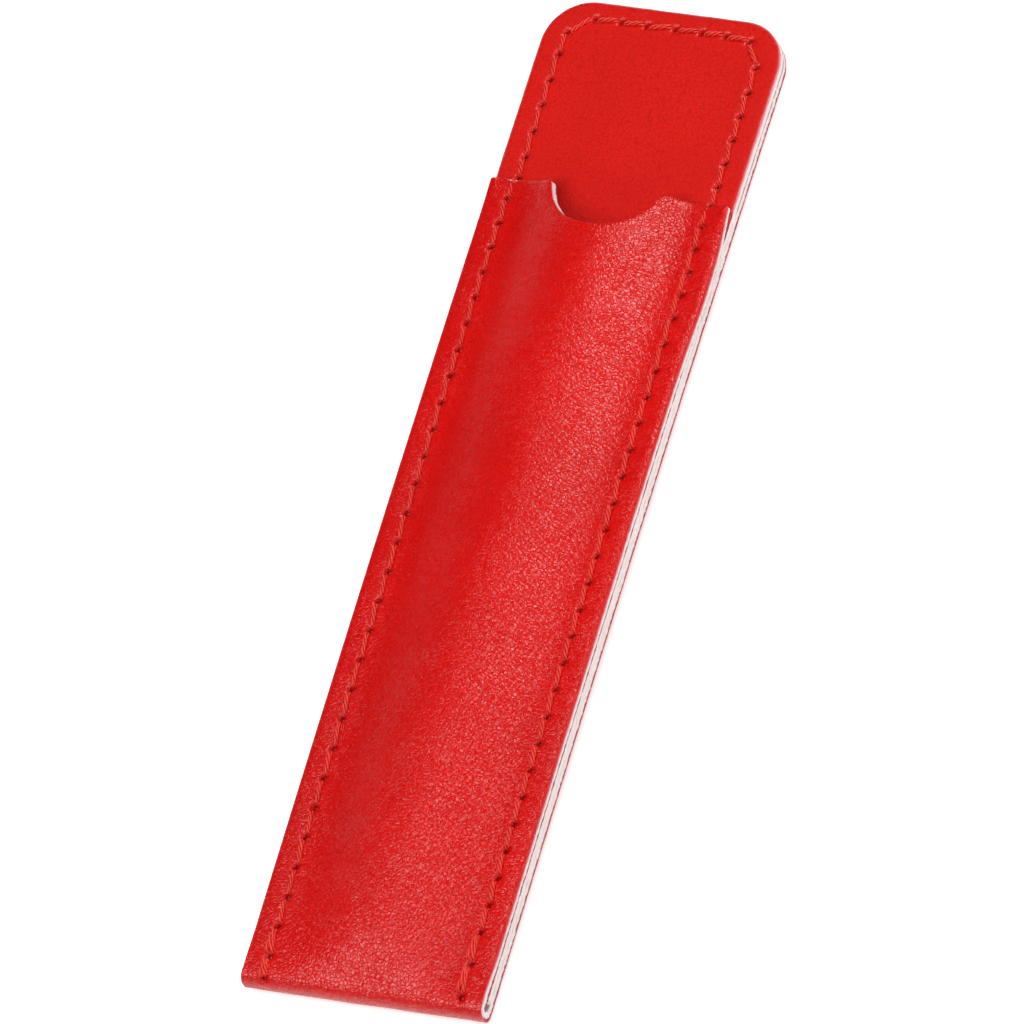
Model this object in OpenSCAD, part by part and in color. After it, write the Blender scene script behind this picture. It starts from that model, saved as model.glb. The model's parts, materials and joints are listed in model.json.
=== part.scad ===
// Single pen sleeve: one strip of coated leather folded at the bottom into a pocket with a tall
// tongue behind it, a lining glued inside the back, and one lockstitched seam round three sides.
// X runs across the sleeve, Y from the fold to the top of the tongue, Z out of the pocket's front.
// The sleeve lies on its back on z = 0, with the origin under the middle of its length and width.

/* [Sleeve] */
// Length from the fold to the top of the tongue
sleeve_l = 155; // [120:1:200]
// Width across the seams
sleeve_w = 37; // [32:0.5:60]
// Length of the tongue above the mouth of the pocket
tongue_l = 29.5; // [20:0.5:50]
// Radius of the two top corners
corner_r = 7; // [5.5:0.5:9]

/* [Leather] */
// Thickness of the red coat
coat_t = 0.2; // [0.1:0.05:0.4]
// Thickness of the pale core under the coat
core_t = 1.15; // [0.9:0.05:1.8]
// Thickness of the glue between the back and the lining
glue_t = 0.1; // [0.05:0.05:0.3]
// How far the glue stays back from the cut edges
glue_back = 0.3; // [0.1:0.1:1]
// How far the lining's lower end stops above the bend of the fold
lining_back = 0.6; // [0.2:0.1:3]

/* [Pocket] */
// Rise of the pocket's front over its margins, at the mouth
crown_mouth = 4.5; // [4.5:0.1:9]
// Rise of the pocket's front where it has grown out of the fold
crown_toe = 4.5; // [4.5:0.1:8]
// Length over which the front grows out of the fold
toe_l = 30; // [12:1:40]
// How early the front rises out of the fold
toe_lead = 5; // [3:0.5:6]
// How full the arch across the pocket is
arch_full = 2; // [2:0.1:4]
// How softly the arch leaves the seams
arch_soft = 2.3; // [1.1:0.1:3]
// Flat leather between the needle holes and the foot of the arch
arch_land = 0.4; // [0.2:0.1:2]

/* [Thumb notch] */
// Width of the notch at the mouth
notch_w = 17; // [10:0.5:20]
// Depth of the notch below the mouth
notch_d = 7; // [3:0.1:8]
// Radius of the notch's two shoulders
notch_round = 1.2; // [0.5:0.1:2]

/* [Seam] */
// Distance of the seam from the two side edges
seam_side = 3.45; // [2.5:0.05:4.5]
// Distance of the seam from the top edge
seam_top = 2.7; // [2.2:0.05:4]
// Height of the two lowest needle holes above the fold
seam_end = 3; // [3:0.1:8]
// Length of one stitch, before the runs are divided evenly
stitch_l = 4.1; // [3:0.1:6]
// Thickness of the sewing thread
thread_d = 0.65; // [0.4:0.05:0.75]
// Gap between the two strands in one needle hole
strand_gap = 0.03; // [0.02:0.01:0.1]
// Clearance round the strands in a needle hole
hole_clear = 0.08; // [0.06:0.01:0.2]
// Clearance between a stitch and the leather it lies on
lay_gap = 0.03; // [0.01:0.01:0.05]

/* [Hidden] */
$fn = 48;

// Cuts reach past the leather by this much
over = 1;

// Heights of the layers, from the back of the sleeve to its front
sheet_t = coat_t + core_t;
glue_z = sheet_t;
lining_z = glue_z + glue_t;
lining_face_z = lining_z + sheet_t;
leaf_face_z = lining_face_z + sheet_t;

// The fold is a half ring that joins the back to the front leaf
fold_r = leaf_face_z / 2;
bottom_y = -sleeve_l / 2;
top_y = sleeve_l / 2;
fold_y = bottom_y + fold_r;
lining_y = fold_y + lining_back;
mouth_y = top_y - tongue_l;

// Needle holes and the groove that the bobbin stitches are pulled into
hole_d = 2 * thread_d + strand_gap + 2 * hole_clear;
strand_x = (thread_d + strand_gap) / 2;
groove_w = thread_d + 2 * lay_gap;
groove_d = thread_d + 2 * lay_gap;

// The seam's corner bends round the same centre as the sleeve's, as nearly as its insets let it
seam_x = sleeve_w / 2 - seam_side;
seam_y = top_y - seam_top;
seam_r = corner_r - (seam_side + seam_top) / 2;

// The arch of the pocket springs from flat margins that hold the seam
arch_x = seam_x - hole_d / 2 - arch_land;
arch_steps = 24;
toe_steps = 10;
body_steps = 4;

// The seam has a hole just clear of the mouth on each side. Below it runs the pocket's part of
// the seam, and between the two the tongue's part: up, round the corners and down again.
mouth_hole_y = mouth_y + hole_d / 2;
seam_end_y = bottom_y + seam_end;
rise_l = seam_y - seam_r - mouth_hole_y;
turn_l = PI / 2 * seam_r;
tongue_run_l = 2 * (rise_l + turn_l + seam_x - seam_r);
pocket_n = round((mouth_hole_y - seam_end_y) / stitch_l);
pocket_pitch = (mouth_hole_y - seam_end_y) / pocket_n;
tongue_n = round(tongue_run_l / stitch_l);
tongue_pitch = tongue_run_l / tongue_n;

// A point on the tongue's part of the seam, at a distance from its left hole
function tongue_point(s) =
    s > tongue_run_l / 2 ? flipped(tongue_point(tongue_run_l - s)) :
    s < rise_l ? [-seam_x, mouth_hole_y + s] :
    s < rise_l + turn_l ? corner_point((s - rise_l) / turn_l * 90) :
    [-seam_x + seam_r + s - rise_l - turn_l, seam_y];
function corner_point(turned) =
    [-seam_x + seam_r * (1 - cos(turned)), seam_y - seam_r * (1 - sin(turned))];
function flipped(p) = [-p.x, p.y];

left_holes = [for (i = [0 : pocket_n - 1]) [-seam_x, seam_end_y + i * pocket_pitch]];
tongue_holes = [for (i = [0 : tongue_n]) tongue_point(i * tongue_pitch)];
right_holes = [for (i = [pocket_n - 1 : -1 : 0]) flipped(left_holes[i])];
holes = concat(left_holes, tongue_holes, right_holes);

// How far the pocket's front stands above its margins
function toe(u) = 1 - pow(1 - u, toe_lead) * (1 + toe_lead * u);
function crown(y) =
    y < fold_y + toe_l ? crown_toe * toe((y - fold_y) / toe_l) :
    crown_toe + (crown_mouth - crown_toe) * (y - fold_y - toe_l) / (mouth_y - fold_y - toe_l);
function arch(x) = pow(max(0, 1 - pow(abs(x) / arch_x, arch_full)), arch_soft);
function rise(x, y) = crown(y) * arch(x);

// Grid over the arch: even steps across, and close steps up the toe, where the height changes most
grid_x = [for (i = [0 : arch_steps]) arch_x * (2 * i / arch_steps - 1)];
grid_y = concat(
    [for (j = [0 : toe_steps]) fold_y + toe_l * j / toe_steps],
    [for (j = [1 : body_steps])
        fold_y + toe_l + (mouth_y + over - fold_y - toe_l) * j / body_steps]);

// Back, lining and glue share this outline: square at the bottom, round at the two top corners
module panel_outline(y0, back = 0) {
    w = sleeve_w - 2 * back;
    r = corner_r - back;
    y1 = top_y - back;
    translate([-w / 2, y0]) square([w, y1 - r - y0]);
    translate([-w / 2 + r, y0]) square([w - 2 * r, y1 - y0]);
    for (side = [-1, 1])
        translate([side * (w / 2 - r), y1 - r]) circle(r = r);
}

module panel(y0, z0, z1, back = 0) {
    translate([0, 0, z0])
        linear_extrude(z1 - z0) panel_outline(y0, back);
}

// Every needle hole, through all the layers
module needle_holes() {
    for (p = holes)
        translate([p.x, p.y, -over]) cylinder(d = hole_d, h = leaf_face_z + 2 * over);
}

// Track that the bobbin stitches press into the back, along the whole seam
module bobbin_groove() {
    translate([0, 0, -over])
        linear_extrude(groove_d + over) {
            for (side = [-1, 1]) {
                translate([side * seam_x - groove_w / 2, seam_end_y])
                    square([groove_w, seam_y - seam_r - seam_end_y]);
                translate([side * (seam_x - seam_r), seam_y - seam_r])
                    corner_track(side);
            }
            translate([seam_r - seam_x, seam_y - groove_w / 2])
                square([2 * (seam_x - seam_r), groove_w]);
        }
}

// Quarter turn of the groove
module corner_track(side) {
    intersection() {
        difference() {
            circle(r = seam_r + groove_w / 2);
            circle(r = seam_r - groove_w / 2);
        }
        translate([side > 0 ? 0 : -corner_r, 0]) square(corner_r);
    }
}

// One layer of the arched front between two heights above the leaf's inner face
module arched_layer(low, high) {
    nx = len(grid_x);
    ny = len(grid_y);
    points = [
        for (h = [low, high], y = grid_y, x = grid_x) [x, y, lining_face_z + rise(x, y) + h]
    ];
    function at(i, j, k) = (k * ny + j) * nx + i;
    tops = [
        for (i = [0 : nx - 2], j = [0 : ny - 2])
            each two(at(i, j, 1), at(i, j + 1, 1), at(i + 1, j + 1, 1), at(i + 1, j, 1))
    ];
    bottoms = [
        for (i = [0 : nx - 2], j = [0 : ny - 2])
            each two(at(i, j, 0), at(i + 1, j, 0), at(i + 1, j + 1, 0), at(i, j + 1, 0), true)
    ];
    fold_end = [
        for (i = [0 : nx - 2])
            each two(at(i, 0, 0), at(i, 0, 1), at(i + 1, 0, 1), at(i + 1, 0, 0))
    ];
    mouth_end = [
        for (i = [0 : nx - 2])
            each two(at(i + 1, ny - 1, 0), at(i + 1, ny - 1, 1), at(i, ny - 1, 1), at(i, ny - 1, 0))
    ];
    sides = [
        for (j = [0 : ny - 2])
            each concat(
                two(at(0, j + 1, 0), at(0, j + 1, 1), at(0, j, 1), at(0, j, 0)),
                two(at(nx - 1, j, 0), at(nx - 1, j, 1), at(nx - 1, j + 1, 1), at(nx - 1, j + 1, 0)))
    ];
    polyhedron(points, concat(tops, bottoms, fold_end, mouth_end, sides), convexity = 4);
}

// A four-sided patch as two triangles, split along either diagonal
function two(a, b, c, d, other = false) = other ? [[a, b, c], [a, c, d]] : [[a, b, c], [a, c, d]];

// What is cut away above the mouth: everything past it, and the thumb notch with round shoulders
module mouth_cut() {
    notch_r = (notch_w * notch_w / 4 + notch_d * notch_d) / (2 * notch_d);
    lift = notch_r - notch_d;
    shoulder_x = sqrt(pow(notch_r + notch_round, 2) - pow(lift + notch_round, 2));
    translate([0, mouth_y, fold_r])
        linear_extrude(leaf_face_z + max(crown_mouth, crown_toe)) {
            translate([-sleeve_w / 2 - over, 0]) square([sleeve_w + 2 * over, tongue_l]);
            translate([0, lift]) circle(r = notch_r);
            difference() {
                polygon([[-shoulder_x, -notch_round], [0, lift], [shoulder_x, -notch_round],
                         [shoulder_x, over], [-shoulder_x, over]]);
                for (side = [-1, 1])
                    translate([side * shoulder_x, -notch_round]) circle(r = notch_round);
            }
        }
}

// The front leaf between two depths under its red face: flat margins and the arch between them
module leaf_layer(near, far) {
    low = sheet_t - far;
    high = sheet_t - near;
    difference() {
        union() {
            for (side = [-1, 1])
                translate([side > 0 ? arch_x : -sleeve_w / 2, fold_y, lining_face_z + low])
                    cube([sleeve_w / 2 - arch_x, mouth_y + over - fold_y, far - near]);
            arched_layer(low, high);
        }
        mouth_cut();
    }
}

// The bend at the bottom between two depths under its red face
module fold_layer(near, far) {
    translate([0, fold_y, fold_r])
        rotate([90, 0, 90])
            linear_extrude(sleeve_w, center = true)
                difference() {
                    circle(r = fold_r - near);
                    circle(r = fold_r - far);
                    translate([0, -fold_r]) square(2 * fold_r);
                }
}

// One layer of the whole strip: back and tongue, fold and front leaf in one piece
module strip_layer(near, far) {
    difference() {
        union() {
            panel(fold_y, near, far);
            fold_layer(near, far);
            leaf_layer(near, far);
        }
        needle_holes();
        bobbin_groove();
    }
}

// Pale core of the folded strip
module outer_strip_core() {
    color([0.95, 0.88, 0.86]) strip_layer(coat_t, sheet_t);
}

// Red coat on the outside of the folded strip
module outer_strip_coat() {
    color([0.80, 0.10, 0.10]) strip_layer(0, coat_t);
}

// Pale core of the lining
module lining_core() {
    color([0.93, 0.86, 0.83])
        difference() {
            panel(lining_y, lining_z, lining_z + core_t);
            needle_holes();
        }
}

// Red coat of the lining, which faces the pen
module lining_coat() {
    color([0.82, 0.12, 0.11])
        difference() {
            panel(lining_y, lining_z + core_t, lining_face_z);
            needle_holes();
        }
}

// Glue that holds the lining to the back
module glue_film() {
    color([0.78, 0.66, 0.66])
        difference() {
            panel(lining_y + glue_back, glue_z, lining_z, glue_back);
            needle_holes();
        }
}

// Height of the face that a stitch lies on: the leaf's, or the lining's on the tongue
function face_z(p, q) = min(p.y, q.y) < mouth_y ? leaf_face_z : lining_face_z;

// One stitch from hole to hole. It lies along x at height z, turns down at both ends and runs to
// the level in the leather where the two threads lock.
module stitch(p, q, z, lock_z) {
    span = norm(q - p);
    down = z > lock_z ? 0 : 1;
    leg = abs(z - lock_z);
    translate([p.x, p.y, z])
        rotate([0, 0, atan2(q.y - p.y, q.x - p.x)])
            mirror([0, 0, down]) {
                translate([strand_x, 0, 0])
                    rotate([0, 90, 0]) cylinder(d = thread_d, h = span - 2 * strand_x);
                for (x = [strand_x, span - strand_x]) {
                    translate([x, 0, 0]) sphere(d = thread_d);
                    translate([x, 0, -leg]) cylinder(d = thread_d, h = leg);
                }
            }
}

// Thread on the front of the sleeve
module needle_thread() {
    color([0.88, 0.22, 0.17])
        for (i = [0 : len(holes) - 2]) {
            face = face_z(holes[i], holes[i + 1]);
            stitch(holes[i], holes[i + 1], face + lay_gap + thread_d / 2, face / 2);
        }
}

// Thread on the back, pulled flush into the leather
module bobbin_thread() {
    color([0.84, 0.18, 0.14])
        for (i = [0 : len(holes) - 2]) {
            face = face_z(holes[i], holes[i + 1]);
            stitch(holes[i], holes[i + 1], lay_gap + thread_d / 2, face / 2);
        }
}

outer_strip_core();
outer_strip_coat();
lining_core();
lining_coat();
glue_film();
needle_thread();
bobbin_thread();
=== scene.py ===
"""A red leather sleeve for one pen: a folded strip, its lining, and one lockstitched seam."""
import json
import math
from types import SimpleNamespace

import bpy
import numpy as np
from mathutils import Matrix, Vector, kdtree, noise
from mathutils.geometry import delaunay_2d_cdt

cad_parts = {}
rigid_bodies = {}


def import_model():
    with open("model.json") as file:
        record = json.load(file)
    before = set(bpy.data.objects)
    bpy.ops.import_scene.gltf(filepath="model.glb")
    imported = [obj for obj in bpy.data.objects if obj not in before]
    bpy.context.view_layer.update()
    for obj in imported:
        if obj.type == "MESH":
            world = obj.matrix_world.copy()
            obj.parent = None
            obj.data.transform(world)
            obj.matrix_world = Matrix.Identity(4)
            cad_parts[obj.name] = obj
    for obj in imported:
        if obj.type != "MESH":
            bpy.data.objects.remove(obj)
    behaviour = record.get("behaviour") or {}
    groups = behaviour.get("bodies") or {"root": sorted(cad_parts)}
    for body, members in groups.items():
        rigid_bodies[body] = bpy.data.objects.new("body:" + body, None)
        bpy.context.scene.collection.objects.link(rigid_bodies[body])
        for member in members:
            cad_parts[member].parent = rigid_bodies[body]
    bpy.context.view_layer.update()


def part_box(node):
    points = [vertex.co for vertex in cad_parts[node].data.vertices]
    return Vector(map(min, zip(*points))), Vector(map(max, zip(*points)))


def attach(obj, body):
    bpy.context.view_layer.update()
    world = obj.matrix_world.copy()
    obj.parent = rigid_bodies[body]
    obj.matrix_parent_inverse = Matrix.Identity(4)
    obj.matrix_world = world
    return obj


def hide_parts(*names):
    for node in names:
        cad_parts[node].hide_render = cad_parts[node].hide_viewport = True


bl_info = {
    "name": "Single pen sleeve",
    "version": (1, 0, 0),
    "blender": (4, 5, 0),
    "location": "View3D > Sidebar > Pen Sleeve",
    "description": "Builds a stitched leather sleeve for one pen",
    "category": "Add Mesh",
}

for leftover in list(bpy.data.objects):
    bpy.data.objects.remove(leftover)
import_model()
BODY = "root"
MM = 0.001
STRIP_LOW, STRIP_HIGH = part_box("outer_strip_coat")
LINING_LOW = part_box("lining_coat")[0]


# What a user may change
def length_property(name, description, default, **more):
    """A length in metres for the panel"""
    return bpy.props.FloatProperty(name=name, description=description, default=default,
                                   unit="LENGTH", precision=5, **more)


def colour_property(name, description, default):
    """A colour for the panel"""
    return bpy.props.FloatVectorProperty(name=name, description=description, default=default,
                                         subtype="COLOR", size=3, min=0, max=1)


class SleeveSizes(bpy.types.PropertyGroup):
    """Sizes of the leather and of its folds"""
    length: length_property("Length", "From the fold to the top of the tongue",
                            STRIP_HIGH.y - STRIP_LOW.y)
    width: length_property("Width", "Across the two seams", STRIP_HIGH.x - STRIP_LOW.x)
    tongue: length_property("Tongue", "Length of the tongue above the mouth", 0.0295)
    corner: length_property("Corner", "Radius of the tongue's two corners", 0.007)
    sheet: length_property("Leather", "Thickness of one panel", 0.00135)
    coat: length_property("Coat", "Thickness of the red coat on a panel", 0.0002)
    glue: length_property("Glue", "Thickness of the glue under the lining", 0.0001)
    crown_mouth: length_property("Crown at the mouth", "Rise of the front at the mouth", 0.0045)
    crown_body: length_property("Crown of the body", "Rise of the front below the mouth", 0.0036)
    opening: length_property("Opening", "Length over which the mouth stands open", 0.055)
    toe: length_property("Toe", "Length over which the front grows out of the fold", 0.030)
    notch_width: length_property("Notch width", "Width of the thumb notch", 0.017)
    notch_depth: length_property("Notch depth", "Depth of the thumb notch", 0.0070)
    bow: length_property("Bow", "How far the middle of the sleeve arches off the table", 0.0009)
    overhang: length_property("Overhang", "How far the front stands out past the back", 0.0001)
    flare: length_property("Flare", "How far the right edge spreads below the mouth", 0.0004)


class SeamSizes(bpy.types.PropertyGroup):
    """Sizes of the seam and its thread"""
    side: length_property("Side inset", "Distance of the seam from the side edges", 0.00345)
    top: length_property("Top inset", "Distance of the seam from the top edge", 0.0027)
    thread: length_property("Thread", "Thickness of the sewing thread", 0.00064)
    hole_depth: length_property("Hole depth", "How deep the leather sinks at a hole", 0.00060)
    groove: length_property("Groove", "How deep the stitches press into the leather", 0.00010)
    turns: bpy.props.FloatProperty(name="Twist", default=1.4, min=0, max=6,
                                   description="Turns of the three plies in one stitch")


class SleeveFinish(bpy.types.PropertyGroup):
    """Colours and grain"""
    red: colour_property("Red coat", "Colour of the outer strip", (0.755, 0.0050, 0.0042))
    lining_red: colour_property("Lining", "Colour of the lining's coat", (0.765, 0.0128, 0.0092))
    pale: colour_property("Cut edge", "Colour of the leather's core", (1.0, 0.90, 0.87))
    thread: colour_property("Thread", "Colour of the sewing thread", (1.0, 0.045, 0.027))
    glue: colour_property("Glue", "Colour of the dried glue", (0.62, 0.50, 0.49))
    cell: length_property("Pebble", "Width of one pebble of the grain", 0.00054)


PROPERTY_GROUPS = (("sleeve_sizes", SleeveSizes), ("seam_sizes", SeamSizes),
                   ("sleeve_finish", SleeveFinish))


# Sizes in millimetres that the panel does not show

# Needle holes up the two pocket seams, as (stitches, length of one), from the fold upwards
LEFT_RUN = ((1, 3.3), (16, 4.58), (4, 4.25), (4, 4.1), (4, 3.89))
RIGHT_RUN = ((2, 4.95), (23, 4.148), (5, 3.64))
LEFT_START, RIGHT_START = -76.7, -75.2
TONGUE_RUN = ((1, 3.4), (4, 4.12), (1, 3.5), (1, 4.7), (2, 4.0), (1, 4.4), (1, 4.1), (2, 3.78),
              (1, 4.8), (1, 4.0), (4, 3.73), (1, 3.2))
# Height of the back's lowest needle holes over the fold
BACK_SEAM_LOW = 3
# Flat leather between the needle holes and the foot of the arch
ARCH_LAND = 1.145
# How softly the arch leaves the seams
ARCH_SOFTNESS = 1.8
# Share of the crown that rises at once out of the fold, and the length it takes
QUICK_SHARE, QUICK_LENGTH = 0.35, 2.5
# How square the fold's profile is: 1 is round
SQUARENESS = 0.78
# Radius of the mouth's two corners, and of the notch's two shoulders
MOUTH_CORNER, NOTCH_SHOULDER = 0.5, 1.2
# Free corners of the mouth, as (lift, where it starts across, over how far, how far down)
RIGHT_CURL, LEFT_CURL = (0.80, 15.9, 2.6, 4.2), (0.25, 16.4, 2.1, 3.0)
# How far below the mouth the right edge spreads most, and over what length
FLARE_BELOW, FLARE_LENGTH = 13, 9
# Length above the fold over which the front grows wider than the back
WIDENING = 9
# How far a corner draws in for each millimetre that it curls up
DRAWN_IN = 0.15
# A needle hole: the direction of its slot, the slot's half length, half width and offset, the
# dish round it, and the lip beside it
SLOT_ALONG, SLOT_ASIDE = 0.64, 0.77
SLOT_LONG, SLOT_WIDE, SLOT_OFF = 0.62, 0.31, 0.06
DISH_DEEP, DISH_WIDE = 0.20, 0.75
LIP_HIGH, LIP_WIDE, LIP_X, LIP_Y = 0.12, 0.36, -0.62, 0.05
HOLE_REACH = 2.4
# Depth of the groove under the bobbin stitches, and how wide a groove is
BACK_GROOVE, GROOVE_WIDE = 0.42, 0.5
# Distances from a cut edge: on it, beside it, and near enough to move with it
ON_RIM, BESIDE_RIM, NEAR_RIM = 0.02, 0.2, 0.3
# Rounding of the front's sides, the mouth and the tongue, each as (depth, how far in)
SIDE_ROUND, MOUTH_ROUND, TONGUE_ROUND = (0.36, 0.55), (0.16, 0.55), (0.07, 0.45)
# Width of the strip's side bands, where the cut edge is soft and shows
SIDE_BAND = 1.2
# Slow unevenness of the surfaces: length of a wave, and its height on the strip and the lining
WAVE, STRIP_WAVE, LINING_WAVE = 7.0, 0.10, 0.06
# Raggedness of the cut edges: waves in a millimetre, and their height on the rim, inside the
# core and on the glue
RAGGED_RATE, RAGGED, RAGGED_CORE, RAGGED_GLUE = 0.9, 0.05, 0.07, 0.12
# Mesh of a flat pattern: step along its edge, insets of the edge, step of the fine points in
# the band beside the seam, and how far these keep from the holes and from the edge
RIM_STEP, RIM_INSETS = 0.5, (0.14, 0.36)
FINE_STEP, FINE_BAND, HOLE_CLEAR, RIM_CLEAR = 0.55, 2.3, 1.72, 0.72
# Step of the coarse points on the strip and on the lining, and the pitch of rows for one step
STRIP_STEP, LINING_STEP, ROW_PITCH = 0.85, 1.2, 0.866
# Rings of points round a needle hole, as (radius, count)
HOLE_RINGS = ((0.17, 8), (0.36, 12), (0.58, 12), (0.84, 16), (1.14, 16), (1.5, 20))
# Depths under the red face of the points in a core's cut edge, between its two faces
CORE_LEVELS = (0.5, 0.8, 1.1)


def sizes():
    """The panel's sizes in millimetres, and what follows from them"""
    leather, seam = bpy.context.scene.sleeve_sizes, bpy.context.scene.seam_sizes
    m = SimpleNamespace()
    for group in (leather, seam):
        for key in group.__annotations__:
            value = getattr(group, key)
            setattr(m, key, value if key == "turns" else value / MM)
    m.half = m.width / 2
    m.top_y, m.bottom_y = m.length / 2, -m.length / 2
    m.lining_low = m.sheet + m.glue
    m.lining_face = m.lining_low + m.sheet
    m.leaf_face = m.lining_face + m.sheet
    m.fold_r = m.leaf_face / 2
    m.fold_y = m.bottom_y + m.fold_r
    m.fold_turn = math.pi * m.fold_r
    m.mouth_y = m.top_y - m.tongue
    m.lining_y = LINING_LOW.y / MM
    m.seam_x, m.seam_y = m.half - m.side, m.top_y - m.top
    m.seam_r = m.corner - (m.side + m.top) / 2
    m.arch_x = m.seam_x - ARCH_LAND
    m.left_holes, m.tongue_holes, m.right_holes = needle_holes(m)
    m.all_holes = m.left_holes + m.tongue_holes + m.right_holes
    m.core_levels = (m.coat, *CORE_LEVELS, m.sheet)
    return m


def climb(start, runs):
    """Heights of needle holes that follow each other in runs of equal stitches"""
    heights = [start]
    for count, pitch in runs:
        for _ in range(count):
            heights.append(heights[-1] + pitch)
    return heights


def needle_holes(m):
    """Needle holes of the left seam, the tongue and the right seam, in sewing order"""
    left = [(-m.seam_x, y) for y in climb(LEFT_START, LEFT_RUN)]
    right = [(m.seam_x, y) for y in climb(RIGHT_START, RIGHT_RUN)]
    low_left, low_right = left[-1][1], right[-1][1]
    rise_left, rise_right = (m.seam_y - m.seam_r - y for y in (low_left, low_right))
    turn = math.pi / 2 * m.seam_r
    across = 2 * (m.seam_x - m.seam_r)
    total = rise_left + 2 * turn + across + rise_right

    def at(s):
        """The point at a length along the seam, from the last left hole"""
        if s < rise_left:
            return (-m.seam_x, low_left + s)
        if s < rise_left + turn:
            a = (s - rise_left) / m.seam_r
            return (-m.seam_x + m.seam_r * (1 - math.cos(a)),
                    m.seam_y - m.seam_r * (1 - math.sin(a)))
        if s < rise_left + turn + across:
            return (-m.seam_x + m.seam_r + s - rise_left - turn, m.seam_y)
        if s < rise_left + 2 * turn + across:
            a = (s - rise_left - turn - across) / m.seam_r
            return (m.seam_x - m.seam_r * (1 - math.sin(a)),
                    m.seam_y - m.seam_r * (1 - math.cos(a)))
        return (m.seam_x, low_right + total - s)

    steps = climb(0, TONGUE_RUN)
    tongue = [at(total * s / steps[-1]) for s in steps[1:-1]]
    return left, tongue, right[::-1]


# Rules of the form
def smooth(u):
    """Soft step from 0 to 1"""
    u = np.clip(u, 0, 1)
    return u * u * (3 - 2 * u)


def bow(m, y):
    """Rise of the whole sleeve over the table"""
    return m.bow * np.maximum(0, 1 - (2 * y / m.length) ** 2)


def leaf_rise(m, x, y):
    """Rise of the pocket's front above its flat margins"""
    up = np.maximum(0, y - m.fold_y)
    slow = (1 - QUICK_SHARE) * (1 - np.clip(up / m.toe, 0, 1)) ** 2
    quick = QUICK_SHARE * np.exp(-up / QUICK_LENGTH)
    crown = m.crown_body * (1 - slow - quick)
    crown = crown + (m.crown_mouth - m.crown_body) * smooth(1 - (m.mouth_y - y) / m.opening)
    return crown * np.maximum(0, 1 - (x / m.arch_x) ** 2) ** ARCH_SOFTNESS


def curl(m, x, y):
    """Lift of the leaf's free corners at the mouth"""
    below = np.maximum(0, m.mouth_y - y)
    lift = 0
    for way, (high, start, over, down) in ((1, RIGHT_CURL), (-1, LEFT_CURL)):
        lift = lift + high * smooth((way * x - start) / over) * np.exp(-(below / down) ** 2)
    return lift


def strip_points(m, x, v, depth):
    """Points of the folded strip. v runs along its red face: up the leaf from the fold where it
    is positive, round the fold, then up the back. depth is under the red face."""
    out = np.zeros((len(x), 3))
    leaf = v >= 0
    turn = (v < 0) & (v > -m.fold_turn)
    back = v <= -m.fold_turn
    past = (m.mouth_y - m.fold_y - v - FLARE_BELOW) / FLARE_LENGTH
    spread = m.overhang + m.flare * (x > 0) * np.exp(-past ** 2)
    x = x + np.sign(x) * spread * smooth(np.abs(x) / m.half) * smooth(v / WIDENING) * leaf
    x = x - np.sign(x) * DRAWN_IN * curl(m, x, v + m.fold_y) * leaf

    y = v[leaf] + m.fold_y
    step = 0.05
    xs = x[leaf]

    def top(a, b):
        """Height of the leaf's red face over its flat margins"""
        return leaf_rise(m, a, b) + curl(m, a, b)

    slope_x = (top(xs + step, y) - top(xs - step, y)) / (2 * step)
    slope_y = (top(xs, y + step) - top(xs, y - step)) / (2 * step)
    normal = np.stack([-slope_x, -slope_y, np.ones(len(y))], 1)
    normal /= np.linalg.norm(normal, axis=1)[:, None]
    out[leaf] = np.stack([xs, y, m.leaf_face + top(xs, y)], 1) - normal * depth[leaf][:, None]

    angle = -v[turn] / m.fold_r
    radius = m.fold_r - depth[turn]
    sine, cosine = np.sin(angle), np.cos(angle)
    out[turn] = np.stack([x[turn], m.fold_y - radius * np.abs(sine) ** SQUARENESS,
                          m.fold_r + radius * np.sign(cosine) * np.abs(cosine) ** SQUARENESS], 1)
    out[back] = np.stack([x[back], m.fold_y - v[back] - m.fold_turn, depth[back]], 1)
    out[:, 2] += bow(m, out[:, 1])
    return out


def seam_gap(m, x, y):
    """Distance from the seam's line up the sides and round the tongue"""
    ax = np.abs(x)
    cx, cy = m.seam_x - m.seam_r, m.seam_y - m.seam_r
    corner = np.abs(np.hypot(ax - cx, y - cy) - m.seam_r)
    return np.where(y < cy, np.abs(ax - m.seam_x),
                    np.where(ax > cx, corner,
                             np.minimum(np.abs(y - m.seam_y), np.abs(ax - m.seam_x) + 9)))


def pressed(points, holes, groove_gap, groove, m):
    """How deep the thread has pulled the leather in, at points of the flat pattern"""
    depth = groove * np.exp(-(groove_gap / GROOVE_WIDE) ** 2)
    for hole in holes:
        near = np.flatnonzero((np.abs(points - hole) < HOLE_REACH).all(1))
        dx, dy = (points[near] - hole).T
        along = SLOT_ALONG * dx + SLOT_ASIDE * dy
        aside = SLOT_ASIDE * dx - SLOT_ALONG * dy
        out = np.hypot(along / SLOT_LONG, (aside - SLOT_OFF) / SLOT_WIDE)
        slot = m.hole_depth * np.exp(-out ** 3)
        dish = DISH_DEEP * np.exp(-(np.hypot(dx, dy) / DISH_WIDE) ** 2)
        lip = LIP_HIGH * np.exp(-(np.hypot(dx - LIP_X, dy - LIP_Y) / LIP_WIDE) ** 2)
        depth[near] += slot + dish - lip
    return depth


# Flat patterns
def arc(cx, cy, r, start, stop, step=0.35):
    """Points along an arc, by angle in degrees"""
    count = max(3, int(abs(math.radians(stop - start)) * r / step) + 1)
    angles = np.radians(np.linspace(start, stop, count))
    return np.stack([cx + r * np.cos(angles), cy + r * np.sin(angles)], 1)


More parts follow.
